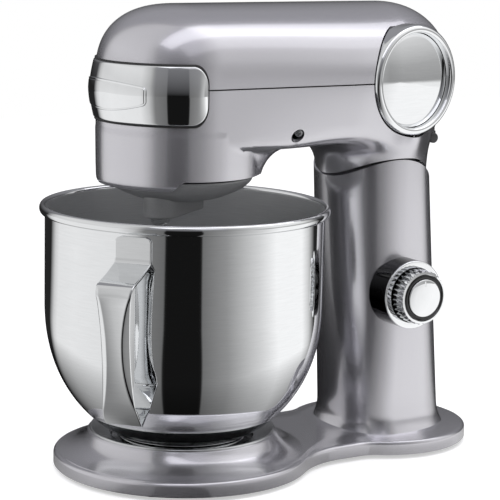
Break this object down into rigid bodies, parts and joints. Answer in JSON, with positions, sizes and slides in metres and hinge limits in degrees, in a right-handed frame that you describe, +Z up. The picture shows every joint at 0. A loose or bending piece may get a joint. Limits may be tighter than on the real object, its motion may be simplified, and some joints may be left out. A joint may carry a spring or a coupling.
{
  "type": "stand mixer",
  "caption": "Tilt-head stand mixer with a polished steel bowl and strap handle, planetary drive, sliding front port cover, side medallions and a speed dial.",
  "frame": {"origin": "on the table under the middle of the whole object's bounding box", "axes": "+Z up, -Y the front where the bowl and nose are, +X the side with the speed dial"},
  "size_m": [0.2228, 0.379, 0.3592],
  "materials": {
    "silver_paint": "glossy metallic enamel",
    "polished_steel": "mirror polished stainless steel",
    "chrome": "bright plated",
    "dark_chrome": "dark plated",
    "grey_casting": "satin grey casting",
    "steel": "machined",
    "gear_plastic": "moulded",
    "black_plastic": "moulded",
    "rubber": "matte",
    "copper_windings": "lacquered copper wire",
    "circuit_board": "solder mask"
  },
  "bodies": {
    "stand": {"base_casting": "silver_paint", "bottom_cover": "black_plastic", "foot_front_left": "rubber", "foot_front_right": "rubber", "foot_rear_left": "rubber", "foot_rear_right": "rubber", "bayonet_plate": "steel", "column_casting": "silver_paint", "column_hinge_bracket": "steel", "hinge_pin": "steel", "lock_keeper": "steel", "dial_bezel": "dark_chrome", "speed_sensor": "black_plastic", "control_board": "circuit_board", "cord_gland": "rubber"},
    "bowl": {"bowl": "polished_steel", "bowl_foot": "polished_steel", "bowl_handle": "polished_steel"},
    "speed_dial": {"dial_grip": "dark_chrome", "dial_face": "chrome", "dial_shaft": "steel"},
    "head": {"head_top_shell": "silver_paint", "head_lower_shell": "silver_paint", "arm_screw_left": "steel", "arm_screw_right": "steel", "medallion_ring_left": "chrome", "medallion_ring_right": "chrome", "medallion_disc_left": "polished_steel", "medallion_disc_right": "polished_steel", "head_hinge_bracket": "steel", "lock_deck": "grey_casting", "lever_pin": "steel", "gearbox_housing": "grey_casting", "gearbox_lid": "grey_casting", "spindle_bearing_lower": "steel", "spindle_bearing_upper": "steel", "ring_gear": "steel", "outlet_housing": "grey_casting", "outlet_bearing": "steel", "motor_can": "steel", "motor_end_cap": "black_plastic", "motor_windings": "copper_windings", "drive_belt": "rubber"},
    "lock_lever": {"lock_lever": "black_plastic"},
    "lock_bolt": {"lock_bolt": "steel"},
    "cover": {"port_cover": "chrome", "cover_plaque": "polished_steel"},
    "planetary": {"planetary_housing": "grey_casting", "main_spindle": "steel", "driven_pulley": "gear_plastic", "spindle_bevel_gear": "steel"},
    "outlet": {"outlet_shaft": "steel", "outlet_bevel_gear": "steel"},
    "attachment": {"attachment_shaft": "steel", "drive_pin": "steel", "planet_pinion": "steel"},
    "rotor": {"motor_rotor": "copper_windings", "motor_pulley": "gear_plastic", "cooling_fan": "black_plastic"}
  },
  "joints": [
    {"name": "head_tilt", "type": "hinge", "parent": "stand", "child": "head", "pos_m": [0, 0.14249, 0.216], "axis": [-1, 0, 0], "range_deg": [0, 48]},
    {"name": "bowl_twist", "type": "hinge", "parent": "stand", "child": "bowl", "pos_m": [0, -0.06951, 0.02], "axis": [0, 0, 1], "range_deg": [0, 40]},
    {"name": "dial_turn", "type": "hinge", "parent": "stand", "child": "speed_dial", "pos_m": [0.07, 0.10249, 0.132], "axis": [1, 0, 0], "range_deg": [0, 270]},
    {"name": "lever_press", "type": "hinge", "parent": "head", "child": "lock_lever", "pos_m": [0, 0.12649, 0.254], "axis": [-1, 0, 0], "range_deg": [0, 16]},
    {"name": "bolt_slide", "type": "slide", "parent": "head", "child": "lock_bolt", "axis": [0, -1, 0], "range_m": [0, 0.0024]},
    {"name": "cover_slide", "type": "slide", "parent": "head", "child": "cover", "axis": [0, -1, 0], "range_m": [0, 0.03]},
    {"name": "planetary_spin", "type": "hinge", "parent": "head", "child": "planetary", "pos_m": [0, -0.07651, 0.24], "axis": [0, 0, 1], "continuous": true},
    {"name": "attachment_spin", "type": "hinge", "parent": "planetary", "child": "attachment", "pos_m": [0.01431, -0.09941, 0.22], "axis": [0, 0, 1], "continuous": true},
    {"name": "outlet_spin", "type": "hinge", "parent": "head", "child": "outlet", "pos_m": [0, -0.07651, 0.296], "axis": [0, -1, 0], "continuous": true},
    {"name": "rotor_spin", "type": "hinge", "parent": "head", "child": "rotor", "pos_m": [0, 0.03849, 0.3], "axis": [0, 0, 1], "continuous": true}
  ],
  "couplings": [
    {"joint": "bolt_slide", "follows": "lever_press", "m_per_rad": 0.0085},
    {"joint": "attachment_spin", "follows": "planetary_spin", "ratio": -3},
    {"joint": "outlet_spin", "follows": "planetary_spin", "ratio": 1},
    {"joint": "rotor_spin", "follows": "planetary_spin", "ratio": 4.4444}
  ]
}
